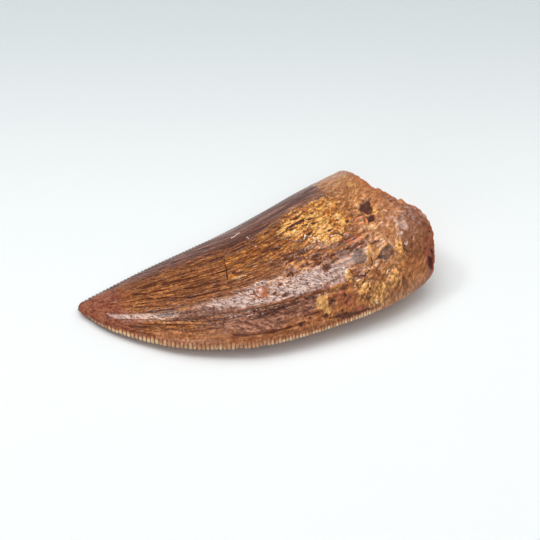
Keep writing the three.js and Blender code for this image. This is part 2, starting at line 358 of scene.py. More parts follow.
# Broad zones of the upper and lower flank: outline, softness and raggedness in millimetres, seed.
ZONES = {
    "gold": ([
        (0.43, 0.3), (0.5, 0.33), (0.56, 0.47), (0.6, 0.54), (0.7, 0.6), (0.78, 0.64), (0.84, 0.5),
        (0.825, 0.1), (0.81, -0.12), (0.74, -0.25), (0.67, -0.13), (0.6, -0.05), (0.52, -0.02),
        (0.45, -0.2), (0.43, 0.0),
    ], 0.9, 0.8, 101),
    "bright_gold": ([
        (0.61, 0.3), (0.63, 0.5), (0.7, 0.57), (0.76, 0.58), (0.82, 0.4), (0.82, 0.1), (0.8, -0.1),
        (0.74, -0.22), (0.69, -0.1), (0.65, 0.0), (0.63, 0.15),
    ], 0.9, 1.0, 102),
    "plum": ([
        (0.0, 0.85), (0.12, 0.72), (0.24, 0.6), (0.44, 0.53), (0.5, 0.46), (0.55, 0.48), (0.6, 0.56),
        (0.68, 0.62), (0.72, 0.65), (0.79, 0.65), (0.86, 0.7), (0.91, 0.84), (0.92, 1.1), (0.0, 1.1),
    ], 2.0, 1.3, 103),
    "wrinkled": ([
        (0.33, -0.62), (0.46, -0.6), (0.6, -0.67), (0.64, -0.7), (0.62, -0.84), (0.5, -0.87),
        (0.4, -0.8),
    ], 0.9, 0.8, 104),
    "mottled": ([
        (0.585, -0.03), (0.63, -0.08), (0.68, -0.2), (0.72, -0.28), (0.82, -0.36), (0.78, -0.43),
        (0.7, -0.42), (0.585, -0.38),
    ], 0.7, 0.8, 105),
    "root_rim": ([
        (0.93, -0.34), (0.965, -0.3), (1.02, -0.42), (1.02, -0.9), (0.95, -0.86), (0.905, -0.76),
        (0.905, -0.6),
    ], 1.0, 0.9, 108),
    "rim_plum": ([
        (0.925, 0.1), (0.95, -0.1), (0.97, -0.3), (1.02, -0.4), (1.02, -0.8), (0.975, -0.75),
        (0.96, -0.5), (0.94, -0.2),
    ], 0.8, 0.5, 106),
    "streak": ([
        (0.28, -0.5), (0.365, -0.44), (0.433, -0.38), (0.483, -0.36), (0.55, -0.44), (0.66, -0.45),
        (0.74, -0.52), (0.73, -0.7), (0.66, -0.69), (0.59, -0.665), (0.49, -0.635), (0.4, -0.6),
        (0.3, -0.6),
    ], 0.7, 0.4, 107),
}

# Dark grain lines of the enamel: the line's (s, v) points, its width and its strength.
GRAIN_LINES = [
    ([(0.068, 0.34), (0.077, 0.16), (0.091, 0.07), (0.1, -0.02), (0.111, -0.1), (0.129, -0.1)],
     0.16, 0.6),
    ([(0.17, 0.12), (0.193, 0.074), (0.215, 0.023), (0.245, 0.033), (0.281, 0.002)], 0.16, 0.9),
    ([(0.202, 0.235), (0.227, 0.204), (0.261, 0.173), (0.295, 0.167), (0.322, 0.152), (0.34, 0.136)],
     0.2, 1.0),
    ([(0.236, 0.312), (0.288, 0.317), (0.34, 0.276), (0.361, 0.26), (0.381, 0.235)], 0.14, 0.7),
    ([(0.283, 0.038), (0.317, 0.049), (0.34, 0.033), (0.38, 0.02), (0.41, 0.02)], 0.13, 0.7),
    ([(0.258, -0.08), (0.304, -0.055), (0.34, -0.09), (0.354, -0.096), (0.395, -0.09), (0.433, -0.1)],
     0.17, 1.0),
    ([(0.186, -0.11), (0.218, -0.117), (0.233, -0.148)], 0.14, 0.8),
    ([(0.249, -0.153), (0.272, -0.19), (0.297, -0.23), (0.34, -0.267), (0.388, -0.303),
      (0.429, -0.334)], 0.17, 0.9),
    ([(0.175, -0.334), (0.204, -0.318), (0.249, -0.355), (0.301, -0.318)], 0.15, 0.7),
    ([(0.213, -0.443), (0.24, -0.437), (0.295, -0.417)], 0.15, 0.7),
    ([(0.24, 0.5), (0.317, 0.504), (0.361, 0.519), (0.397, 0.509), (0.43, 0.49), (0.515, 0.5)],
     0.16, 0.8),
    ([(0.295, 0.43), (0.34, 0.42), (0.372, 0.39)], 0.15, 0.7),
    ([(0.31, 0.2), (0.35, 0.19), (0.39, 0.17), (0.43, 0.16)], 0.13, 0.5),
    ([(0.35, -0.17), (0.38, -0.19), (0.42, -0.21)], 0.13, 0.6),
    ([(0.39, -0.148), (0.422, -0.2), (0.454, -0.23)], 0.16, 0.8),
    ([(0.442, 0.002), (0.479, -0.013), (0.513, -0.034), (0.547, -0.065)], 0.13, 0.8),
    ([(0.385, 0.36), (0.41, 0.35), (0.443, 0.34)], 0.2, 0.8),
    ([(0.458, 0.39), (0.5, 0.37), (0.538, 0.38)], 0.25, 0.9),
    ([(0.558, 0.5), (0.575, 0.54), (0.6, 0.565)], 0.25, 0.8),
    ([(0.6, 0.6), (0.66, 0.6), (0.71, 0.61)], 0.22, 0.5),
    ([(0.48, 0.22), (0.51, 0.2), (0.54, 0.2)], 0.14, 0.6),
    ([(0.46, 0.1), (0.49, 0.08), (0.53, 0.09)], 0.13, 0.5),
    ([(0.447, -0.19), (0.468, -0.2), (0.488, -0.19)], 0.18, 0.8),
    ([(0.54, 0.16), (0.57, 0.15), (0.6, 0.17)], 0.15, 0.6),
    ([(0.61, -0.1), (0.64, -0.13), (0.665, -0.17)], 0.22, 0.8),
    ([(0.7, -0.345), (0.73, -0.37), (0.77, -0.375), (0.81, -0.398)], 0.2, 1.0),
    ([(0.6, -0.36), (0.64, -0.33), (0.67, -0.3)], 0.16, 0.5),
    ([(0.156, -0.78), (0.19, -0.775), (0.215, -0.76)], 0.15, 0.6),
    ([(0.42, -0.86), (0.456, -0.877), (0.5, -0.885), (0.547, -0.89), (0.6, -0.89)], 0.18, 0.8),
    ([(0.6, -0.845), (0.637, -0.85), (0.645, -0.88)], 0.16, 0.9),
    ([(0.69, -0.94), (0.73, -0.945), (0.78, -0.95)], 0.2, 1.0),
    ([(0.66, -0.92), (0.69, -0.925), (0.72, -0.93)], 0.2, 0.7),
    ([(0.82, -0.445), (0.835, -0.45), (0.855, -0.485)], 0.2, 0.7),
    ([(0.73, -0.675), (0.755, -0.712), (0.778, -0.715), (0.796, -0.682)], 0.13, 1.0),
]

# Fine cracks, which are also cut into the surface: points, width and strength.
CRACKS = [
    ([(0.44, 0.307), (0.438, 0.173), (0.4356, 0.018), (0.433, -0.086), (0.438, -0.29)], 0.09, 1.0),
    ([(0.743, -0.675), (0.774, -0.708), (0.796, -0.675), (0.806, -0.63), (0.808, -0.576)], 0.12, 1.0),
    ([(0.79, 0.58), (0.796, 0.5), (0.798, 0.43)], 0.12, 1.0),
    ([(0.862, -0.2), (0.866, -0.26)], 0.14, 1.0),
    ([(0.85, 0.32), (0.856, 0.24), (0.858, 0.16)], 0.08, 1.0),
    ([(0.898, -0.66), (0.902, -0.71), (0.91, -0.75)], 0.12, 1.0),
    ([(0.502, -0.33), (0.522, -0.36), (0.53, -0.4)], 0.08, 1.0),
    ([(0.49, -0.38), (0.493, -0.45), (0.505, -0.52)], 0.09, 1.0),
]

# Dark pits: place, half-length, half-width, depth.
PITS = [
    (0.867, 0.0, 1.0, 1.35, 0.5), (0.876, 0.05, 0.9, 0.75, 0.45), (0.861, -0.165, 0.5, 0.6, 0.35),
    (0.8, -0.03, 0.34, 0.36, 0.16), (0.675, -0.28, 0.42, 0.34, 0.2), (0.69, -0.225, 0.4, 0.15, 0.12),
    (0.676, -0.39, 0.6, 0.2, 0.14), (0.69, -0.475, 0.5, 0.42, 0.1), (0.728, 0.355, 0.3, 0.32, 0.12),
    (0.455, -0.035, 0.4, 0.4, 0.14), (0.474, -0.065, 0.4, 0.34, 0.12), (0.537, 0.055, 0.42, 0.22, 0.1),
    (0.556, -0.12, 0.3, 0.22, 0.1), (0.508, 0.13, 0.36, 0.14, 0.08), (0.586, 0.06, 0.25, 0.36, 0.1),
    (0.397, 0.05, 0.25, 0.15, 0.07), (0.404, -0.11, 0.22, 0.18, 0.07), (0.541, -0.53, 0.3, 0.2, 0.12),
    (0.566, -0.595, 0.34, 0.16, 0.12), (0.563, -0.445, 0.22, 0.14, 0.1), (0.587, -0.45, 0.25, 0.12, 0.1),
    (0.62, -0.79, 0.25, 0.13, 0.1), (0.612, -0.87, 0.28, 0.15, 0.1), (0.59, -0.9, 0.34, 0.2, 0.12),
    (0.655, -0.895, 0.4, 0.2, 0.12), (0.679, -0.81, 0.5, 0.34, 0.1), (0.698, -0.9, 0.3, 0.2, 0.1),
    (0.779, -0.83, 0.28, 0.18, 0.1), (0.768, -0.885, 0.34, 0.16, 0.1), (0.787, -0.305, 0.5, 0.14, 0.14),
    (0.772, -0.25, 0.5, 0.1, 0.1), (0.828, -0.34, 0.3, 0.2, 0.1), (0.905, 0.01, 0.25, 0.2, 0.08),
    (0.942, -0.12, 0.2, 0.2, 0.08), (0.887, 0.4, 0.2, 0.22, 0.06), (0.958, -0.93, 0.4, 0.45, 0.28),
    (0.972, -0.88, 0.25, 0.5, 0.15), (0.824, 0.11, 0.22, 0.18, 0.1), (0.755, 0.06, 0.2, 0.2, 0.08),
    (0.765, 0.02, 0.24, 0.18, 0.1), (0.745, 0.1, 0.2, 0.14, 0.08), (0.713, -0.8, 0.25, 0.3, 0.08),
    (0.8, 0.21, 0.3, 0.2, 0.08), (0.84, -0.05, 0.5, 0.1, 0.1), (0.822, -0.01, 0.34, 0.1, 0.08),
    (0.695, 0.025, 0.34, 0.2, 0.1), (0.66, 0.1, 0.2, 0.12, 0.06), (0.718, 0.09, 0.22, 0.12, 0.08),
    (0.6, -0.38, 0.14, 0.3, 0.08), (0.59, -0.29, 0.14, 0.24, 0.06), (0.905, -0.68, 0.16, 0.4, 0.1),
]

# Open slits along the grain, where the enamel has parted: points, width and depth.
SLITS = [
    ([(0.658, 0.43), (0.685, 0.44), (0.713, 0.455)], 0.22, 0.2),
    ([(0.636, 0.325), (0.665, 0.34), (0.699, 0.338)], 0.34, 0.22),
    ([(0.668, 0.31), (0.695, 0.315)], 0.39, 0.2),
    ([(0.7, 0.3), (0.722, 0.278)], 0.23, 0.16),
    ([(0.644, 0.262), (0.666, 0.255)], 0.23, 0.18),
    ([(0.677, 0.24), (0.696, 0.224)], 0.26, 0.16),
    ([(0.706, 0.2), (0.73, 0.17)], 0.29, 0.12),
    ([(0.57, 0.437), (0.592, 0.432)], 0.23, 0.12),
    ([(0.604, 0.385), (0.63, 0.375)], 0.19, 0.1),
    ([(0.652, 0.53), (0.66, 0.49)], 0.19, 0.1),
    ([(0.555, 0.262), (0.577, 0.254)], 0.20, 0.1),
    ([(0.679, 0.068), (0.7, 0.082)], 0.21, 0.14),
    ([(0.6, 0.285), (0.625, 0.275)], 0.17, 0.08),
    ([(0.735, -0.1), (0.747, -0.1), (0.757, -0.135), (0.766, -0.185)], 0.17, 0.14),
    ([(0.735, -0.03), (0.755, -0.045)], 0.19, 0.1),
    ([(0.77, 0.07), (0.78, 0.05)], 0.19, 0.08),
]

LARGE_PIT = 0.8  # half-length above which a pit's outline is coarser

# Rings: place, radius, thickness, the two angles that they are open between, and seed.
RED_RING = (0.83, -0.145, 1.0, 0.24, 160, 300, 30)
FAINT_RING = (0.765, -0.55, 1.15, 0.12, 0, 0, 42)
# Raised rings, with their height.
WELTS = [
    (0.15, RED_RING),
    (0.1, (0.766, -0.78, 1.15, 0.2, 300, 420, 40)),
    (0.1, (0.845, -0.87, 0.95, 0.22, 0, 0, 41)),
]

# Soft-edged patches of one colour: place, half-length, half-width, strength.
PATCHES = {
    "maroon": [
        (0.712, -0.84, 1.3, 0.6, 0.9), (0.7, -0.78, 0.7, 0.5, 0.8), (0.735, -0.935, 1.4, 0.35, 0.9),
        (0.69, -0.475, 0.7, 0.5, 0.9), (0.675, -0.28, 0.5, 0.42, 0.9), (0.962, -0.9, 0.9, 1.0, 1.0),
        (0.785, -0.3, 1.1, 0.5, 0.5), (0.66, -0.39, 0.7, 0.3, 0.7), (0.835, -0.47, 0.8, 0.35, 0.5),
        (0.97, -0.8, 0.6, 1.2, 0.6), (0.465, 0.3, 0.9, 0.9, 0.35),
    ],
    "grey": [
        (0.776, -0.52, 1.15, 1.0, 1.0), (0.735, -0.5, 1.3, 0.7, 0.4), (0.705, -0.58, 1.2, 0.7, 0.3),
        (0.265, -0.52, 1.4, 0.6, 0.5), (0.74, -0.44, 1.0, 0.3, 0.5),
    ],
    "dark_grey": [
        (0.852, -0.62, 1.3, 0.72, 1.0), (0.843, -0.29, 0.6, 0.4, 0.35), (0.679, -0.81, 0.7, 0.5, 0.5),
    ],
    "orange": [
        (0.511, -0.46, 0.6, 0.7, 0.4), (0.747, -0.2, 0.85, 0.7, 1.0),
        (0.89, -0.64, 0.7, 0.9, 0.8), (0.768, -0.79, 1.05, 0.65, 1.0), (0.8, -0.86, 1.4, 0.5, 0.7),
        (0.81, -0.5, 0.8, 0.9, 0.7), (0.735, -0.64, 0.6, 0.9, 0.8), (0.83, -0.17, 0.8, 0.7, 0.5),
        (0.785, -0.92, 1.2, 0.4, 0.6), (0.845, -0.84, 1.0, 0.9, 0.5), (0.62, 0.22, 1.6, 1.0, 0.5),
        (0.88, -0.12, 0.8, 0.8, 0.6), (0.83, -0.55, 0.7, 0.4, 0.7),
    ],
    "yellow": [
        (0.652, -0.78, 0.95, 0.9, 0.9), (0.467, -0.15, 1.0, 0.36, 0.8), (0.72, 0.03, 0.9, 0.8, 0.9),
        (0.66, 0.15, 0.9, 0.7, 0.8), (0.5, 0.3, 0.7, 0.2, 0.8), (0.884, 0.5, 0.5, 0.9, 0.6),
        (0.845, -0.27, 0.6, 0.5, 0.7), (0.78, 0.12, 0.8, 0.8, 0.6), (0.7, 0.48, 1.4, 0.5, 0.5),
        (0.81, 0.33, 0.5, 0.5, 0.5), (0.66, -0.87, 0.6, 0.4, 0.6),
    ],
    "red": [
        (0.511, -0.45, 1.0, 1.1, 1.0), (0.787, -0.3, 1.25, 0.75, 0.9), (0.822, -0.15, 0.5, 0.6, 0.7),
        (0.845, -0.13, 0.3, 0.6, 0.8), (0.79, -0.42, 0.8, 0.4, 0.5), (0.155, 0.15, 1.8, 2.2, 0.4),
        (0.855, -0.42, 1.0, 0.5, 0.4),
    ],
}

# Painted highlights: small bright glints painted into the colour, given as (s, v) points, width and
# strength.
PAINTED_GLINTS = [
    ([(0.477, 0.68), (0.515, 0.725)], 0.16, 1.0), ([(0.52, 0.56), (0.526, 0.49)], 0.09, 0.8),
    ([(0.537, 0.57), (0.53, 0.53)], 0.09, 0.7), ([(0.533, 0.268), (0.537, 0.264)], 0.14, 0.9),
    ([(0.741, -0.8), (0.742, -0.755), (0.75, -0.728), (0.762, -0.722)], 0.07, 0.55),
    ([(0.747, -0.83), (0.757, -0.845)], 0.14, 0.45), ([(0.735, -0.12), (0.741, -0.135)], 0.22, 1.0),
    ([(0.728, -0.55), (0.733, -0.562)], 0.17, 0.8),
    ([(0.688, -0.735), (0.7, -0.72), (0.72, -0.735)], 0.1, 0.4),
    ([(0.497, -0.33), (0.501, -0.345)], 0.14, 0.8), ([(0.512, -0.36), (0.516, -0.375)], 0.12, 0.8),
    ([(0.494, -0.45), (0.497, -0.47)], 0.12, 0.7), ([(0.782, -0.925), (0.79, -0.93)], 0.16, 0.55),
    ([(0.775, 0.33), (0.787, 0.345), (0.797, 0.33)], 0.14, 0.7),
    ([(0.645, 0.23), (0.652, 0.2)], 0.12, 0.8),
    ([(0.666, 0.01), (0.673, 0.06), (0.681, 0.05), (0.686, 0.01)], 0.13, 1.0),
    ([(0.674, -0.03), (0.683, -0.01), (0.691, -0.04)], 0.12, 1.0),
    ([(0.688, -0.05), (0.698, -0.05), (0.703, -0.09)], 0.13, 1.0),
    ([(0.678, -0.07), (0.685, -0.11), (0.693, -0.1)], 0.12, 0.9),
    ([(0.695, -0.09), (0.7, -0.13)], 0.12, 0.7),
    ([(0.83, -0.8), (0.834, -0.77), (0.845, -0.765)], 0.14, 0.6),
    ([(0.906, -0.16), (0.912, -0.24)], 0.2, 0.5), ([(0.915, -0.42), (0.92, -0.44)], 0.24, 0.5),
    ([(0.585, -0.425), (0.587, -0.44)], 0.12, 0.8), ([(0.876, -0.3), (0.884, -0.31)], 0.12, 0.6),
    ([(0.8, -0.17), (0.803, -0.19)], 0.12, 0.6), ([(0.832, -0.935), (0.85, -0.95)], 0.14, 0.3),
    ([(0.828, -0.14), (0.832, -0.18)], 0.14, 0.5), ([(0.725, 0.34), (0.728, 0.31)], 0.1, 0.4),
]


# Edge of a spall that runs along the front flank; the enamel in front of it lies lower.
LEDGE = [
    (0.419, -0.605), (0.469, -0.61), (0.515, -0.628), (0.566, -0.655), (0.62, -0.672), (0.656, -0.683),
    (0.681, -0.7), (0.76, -0.73),
]
LEDGE_HEIGHT = 0.24
LEDGE_WIDTH = 0.08
LEDGE_FADE = (1.5, 4.0)  # how far its raised and its lowered side reach


def ledge_side(g):
    """Distance in millimetres from the ledge, positive behind it."""
    return (g.v - np.interp(g.s, *zip(*LEDGE))) * g.width / 2


def build_marks(g):
    """The masks of the tooth's colours and marks, each 0..1, by name, and the depth of the pits."""
    # The zones' edges are ramps, which the material cuts ragged.
    m = {name: zone(g, *shape) for name, shape in ZONES.items()}
    cloud = fractal(g.along * 0.3, g.true_across * 0.45, 31, 4)
    m["plum"] *= 1.0 - 0.42 * smooth(0.76, 0.84, g.s)
    reach = 0.24 + 0.14 * smooth(-0.25, -0.7, g.v)
    m["tip"] = 1.0 - smooth(0.07, reach, g.s + 0.03 * cloud + 0.04 * np.abs(g.v))
    band_length = smooth(0.2, 0.26, g.s) * (1 - smooth(0.62, 0.68, g.s))
    m["front_band"] = smooth(-0.7, -0.84, g.v + 0.04 * cloud) * band_length
    m["root"] = smooth(0.76, 0.86, g.s + 0.03 * cloud + 0.05 * smooth(0.3, 0.9, -g.v))
    m["root_end"] = smooth(0.87, 0.93, g.s + 0.02 * cloud)
    m["rim_plum"] = np.maximum(m["rim_plum"], blob(g, 0.963, -0.93, 0.9, 1.3, 0.4, 0.5, 109))
    behind_ledge = smooth(-LEDGE_WIDTH, LEDGE_WIDTH, ledge_side(g))
    parted = smooth(0.45, 0.52, g.s)
    m["streak"] *= 1.0 - (1.0 - behind_ledge) * parted
    m["wrinkled"] *= 1.0 - behind_ledge * parted
    for number, (name, patches) in enumerate(PATCHES.items()):
        m[name] = np.maximum.reduce([
            strength * blob(g, s, v, length, width, 0.4, 0.5, 400 + 20 * number + i)
            for i, (s, v, length, width, strength) in enumerate(patches)
        ])
    ringed = np.maximum(ring(g, *RED_RING), 0.7 * ring(g, *FAINT_RING))
    m["red"] = np.maximum(m["red"], ringed)
    # Painted highlights: the mask of the glints painted into the colour.
    m["pale_painted_glint"] = strokes(g, PAINTED_GLINTS, 600, 0.05)
    m["line"] = strokes(g, GRAIN_LINES, 200, 0.12)
    m["crack"] = strokes(g, CRACKS, 260, 0.06)

    m["pit"] = np.zeros_like(g.s)
    pit_depth = np.zeros_like(g.s)
    for i, (s, v, length, width, depth) in enumerate(PITS):
        rough, fineness = (0.5, 1.7) if length > LARGE_PIT else (0.9, 2.6)
        found = blob(g, s, v, length, width, 0.5, rough, 300 + i, fineness)
        soft = blob(g, s, v, length, width, 0.9, rough, 300 + i, fineness)
        m["pit"] = np.maximum(m["pit"], soft * min(1.0, 0.4 + 3.0 * depth))
        pit_depth = np.maximum(pit_depth, depth * found)
    for i, (points, width, depth) in enumerate(SLITS):
        found = stroke(g, points, width, 380 + i, 0.08)
        m["pit"] = np.maximum(m["pit"], found)
        pit_depth = np.maximum(pit_depth, depth * found)

    front_root = smooth(0.62, 0.68, g.s) * smooth(-0.64, -0.72, g.v)
    m["front_root"] = front_root
    m["worn"] = m["bright_gold"] + 0.75 * m["root"] + 0.55 * m["gold"] + m["mottled"] + 0.7 * front_root
    smooth_back_root = smooth(0.79, 0.86, g.s) * smooth(0.1, 0.5, g.v)
    m["worn"] = np.clip(m["worn"], 0, 1) * (1.0 - 0.65 * smooth_back_root)
    m["worn"] *= 1.0 - 0.6 * m["root_end"]
    m["grain"] = np.clip(1.0 - 0.7 * m["tip"] - m["root"], 0, 1) * (1 - 0.6 * m["front_band"])
    m["grain"] *= (1 - 0.8 * m["bright_gold"]) * (1 - 0.5 * m["mottled"]) * (1 - 0.5 * m["streak"])
    m["grain"] *= 1 - 0.8 * front_root
    return m, pit_depth


# --- Relief ---------------------------------------------------------------------------------

# Broad lumps and hollows of the upper flank: place, half-length, half-width, height.
SWELLINGS = [
    (0.511, -0.44, 1.0, 1.1, -0.22), (0.747, -0.2, 0.8, 0.7, 0.3), (0.7, 0.42, 3.2, 0.8, -0.12),
    (0.72, 0.15, 3.0, 2.2, -0.15), (0.7, -0.82, 2.6, 0.9, -0.15), (0.852, -0.62, 1.3, 0.75, -0.06),
    (0.776, -0.52, 1.2, 0.9, 0.12), (0.93, 0.55, 2.2, 3.5, 0.25), (0.9, -0.45, 1.4, 1.6, -0.2),
    (0.768, -0.79, 1.0, 0.65, 0.2), (0.845, -0.86, 1.1, 0.8, 0.2), (0.787, -0.3, 1.1, 0.65, 0.22),
    (0.89, -0.64, 0.8, 0.8, 0.12), (0.832, -0.15, 0.6, 0.5, 0.06), (0.652, -0.78, 0.9, 0.8, 0.12),
    (0.683, -0.05, 0.9, 1.0, 0.14), (0.79, 0.28, 0.5, 0.5, 0.16), (0.82, -0.72, 1.2, 0.6, 0.12),
    (0.76, 0.2, 0.5, 0.5, 0.14), (0.785, 0.12, 0.5, 0.5, 0.16), (0.72, 0.03, 0.7, 0.6, 0.12),
    (0.81, -0.5, 0.6, 0.8, 0.14), (0.735, -0.64, 0.5, 0.8, 0.12),
]
LINE_DEPTH = 0.02
CRACK_DEPTH = 0.08


def worn_relief(g):
    """Height, darkness and tint of the worn enamel: lumps with crevices between, and torn pits."""
    bend = 0.7 * fractal(g.along * 0.7, g.true_across * 0.7, 88, 3)
    first, second, tint = cells(g.along * 0.75 + bend, g.true_across * 1.1 + 0.7 * bend, 91)
    crevice = 1.0 - smooth(0.0, 0.16, second - first)
    crevice *= smooth(-0.1, 0.25, fractal(g.along * 0.5, g.true_across * 0.6, 93, 2))
    small, _, _ = cells(g.along * 1.3 + bend, g.true_across * 1.55 + bend, 92)
    torn = smooth(0.25, 0.42, -fractal(g.along * 0.6 + bend, g.true_across * 1.9 + bend, 95, 4))
    torn *= 1.0 - 0.8 * smooth(0.67, 0.73, g.s)
    lumps = fractal(g.along * 0.85, g.true_across * 1.1, 85, 4)
    knobs = fractal(g.along * 1.9 + bend, g.true_across * 2.1, 97, 2)
    height = 0.14 * (0.5 - first) + 0.16 * (0.4 - small) - 0.1 * crevice - 0.15 * torn
    height += 0.16 * lumps + 0.05 * knobs
    return height, np.maximum(0.8 * crevice, torn), tint


def relief(g, m, pit_depth):
    """Height of the fine surface above the plain skin, in millimetres. Two more masks are added."""
    h = np.zeros_like(g.s)
    side = ledge_side(g)
    ends = 0.35 * smooth(0.4, 0.46, g.s) + 0.65 * smooth(0.48, 0.58, g.s)
    ends *= 1 - smooth(0.68, 0.78, g.s)
    fade = np.exp(-(side / np.where(side > 0, *LEDGE_FADE)) ** 2)
    step = (smooth(-LEDGE_WIDTH, LEDGE_WIDTH, side) - 0.5) * fade
    h += np.where(g.upper, LEDGE_HEIGHT * ends * step, 0.0)
    for s, v, length, width, height in SWELLINGS:
        x, y = g.offset(s, v)
        h += np.where(g.upper, height * np.exp(-(x / length) ** 2 - (y / width) ** 2), 0.0)
    for height, welt in WELTS:
        h += height * ring(g, *welt)
    h -= LINE_DEPTH * m["line"] + CRACK_DEPTH * m["crack"] + pit_depth

    worn, holes, m["tint"] = worn_relief(g)
    h += worn * m["worn"] + 0.2 * worn * m["root_end"]
    m["holes"] = holes * np.clip(m["worn"], 0, 1)

    # Grain and wrinkles of the sound enamel.
    grain = fractal(g.along * 0.2, g.across * 1.6, 11, 4)
    h -= 0.02 * smooth(0.1, 0.45, -grain) * m["grain"]
    wrinkle = noise(g.along * 1.9 + 0.5 * g.true_across, g.true_across * 2.8, 81)
    h += 0.045 * wrinkle * (m["wrinkled"] + 0.1 * m["streak"])
    uneven = np.clip(m["worn"] + m["root"] + m["wrinkled"], 0, 1)
    h += (0.004 + 0.01 * uneven) * fractal(g.along * 1.2, g.true_across * 1.6, 83, 4)
    return h


def cavity(h):
    """How far each place lies below its surroundings, from -1 to 1."""
    around = h.copy()
    for _ in range(3):
        around = (around + np.roll(around, 1, 1) + np.roll(around, -1, 1)) / 3
        padded = np.vstack([around[:1], around, around[-1:]])
        around = (padded[:-2] + padded[1:-1] + padded[2:]) / 3
    return np.clip((around - h) / 0.08, -1, 1)


# --- Mesh -----------------------------------------------------------------------------------

RIM_EVENING = 60  # times the outline is evened, for the innermost rings of the broken face
DENTICLE_REACH = 0.58  # how far up the flank the grooves between the denticles run, in mm
CHIPPED = (36, 37, 42, 43)  # denticles of the front keel that have lost their points


def denticles(g):
    """Inset at the keel, groove depth on the flank, and how strongly the denticles show."""
    offset = g.phase - np.round(g.phase)
    number = np.floor(g.phase).astype(int)
    start, end = SERRATION
    active = smooth(start - 0.02, start, g.s) * (1 - smooth(end - 0.04, end, g.s))
    slot = np.exp(-(offset / 0.12) ** 2)
    depth = 0.75 + 0.5 * hashed(number, number * 0, 91)
    near = np.minimum(g.from_front, g.from_back)
    fall = np.clip(1 - near / DENTICLE_REACH, 0, 1)
    chipped = np.isin(number, CHIPPED) & (g.v < 0)
    inset = active * SLOT_DEPTH * slot * depth * fall ** 2
    inset += np.where(chipped, 0.16 * (1 - slot) * fall ** 2, 0.0)
    groove = active * 0.12 * slot * smooth(DENTICLE_REACH, 0.3 * DENTICLE_REACH, near)
    inset = np.where(g.v < 0, inset, 0.7 * inset)
    shown = active * np.where(g.v < 0, 1.0, 0.1) * np.where(chipped, 0.4, 1.0)
    shown *= 0.5 + 0.5 * smooth(0.05, 0.14, g.s)
    shown *= 1 - 0.4 * smooth(0.2, 0.3, g.s) * smooth(0.56, 0.48, g.s)
    reach = DENTICLE_REACH * (0.6 + 0.4 * smooth(0.05, 0.2, g.s))
    reach *= 1 - 0.55 * smooth(0.42, 0.62, g.s)
    reach *= 0.8 + 0.4 * hashed(number, number * 0, 93)
    return inset, groove, shown, near / reach


def surface_normals(points):
    """Outward normals of a grid that closes round in its second axis."""
    down = np.gradient(points, axis=0)
    round_it = (np.roll(points, -1, axis=1) - np.roll(points, 1, axis=1)) / 2
    n = np.cross(down, round_it)
    length = np.linalg.norm(n, axis=-1, keepdims=True)
    return n / np.maximum(length, 1e-9)


def skin_places(g, m, pit_depth):
    """Places of the skin with its relief. Masks and measures that follow from the form are added."""
    inset, groove, m["serrated"], m["keel_distance"] = denticles(g)
    m["phase"] = g.phase
    m["back_keel"] = 1.0 - smooth(0.1, 0.5, g.from_back)
    m["break_edge"] = 1.0 - smooth(0.0, 0.35, g.from_break)
    places, _ = skin(g.s, g.phi, g.upper, inset)
    h = relief(g, m, pit_depth)
    # The cavity measure serves to paint shade into the colour of the hollows and light onto raised
    # places.
    m["cavity"] = 0.5 + 0.5 * cavity(h)
    keel_fade = smooth(0.0, 0.5, np.minimum(g.from_front, g.from_back))
    h = h * keel_fade * smooth(0.0, 0.05, g.s) - groove
    under = np.where(g.upper, 1.0, smooth(0.0, 0.6, g.plain[..., 2]))
    places = places + surface_normals(g.plain) * (h * under)[..., None]
    places[..., 2] = np.maximum(places[..., 2], 0.0)
    return places


def broken_face(rim):
    """Rings of places that close the break, from the rim inwards, and the middle one."""
    middle = rim.mean(axis=0)
    even = rim
    for _ in range(RIM_EVENING):
        even = (np.roll(even, 1, axis=0) + 2 * even + np.roll(even, -1, axis=0)) / 4
    shares = np.array(BREAK_RINGS)[:, None]
    outline = even + (rim - even) * smooth(0.5, 1.0, shares)[..., None]
    rings = middle + (outline - middle) * shares[..., None]
    grain = fractal(rings[..., 1] * 0.9, rings[..., 2] * 0.9, 141, 4)
    rough = fractal(rings[..., 1] * 3.0, rings[..., 2] * 3.0, 151, 3)
    inner = smooth(1.0, 0.8, shares)
    rings[..., 0] += BREAK_HOLLOW * (shares ** 2 - 1) + inner * (0.55 * grain + 0.12 * rough)
    return rings, middle - np.array([BREAK_HOLLOW, 0, 0])


def add_attribute(mesh, name, kind, field, values):
    layer = mesh.attributes.new(name, kind, "POINT")
    layer.data.foreach_set(field, values.astype(np.float32).ravel())


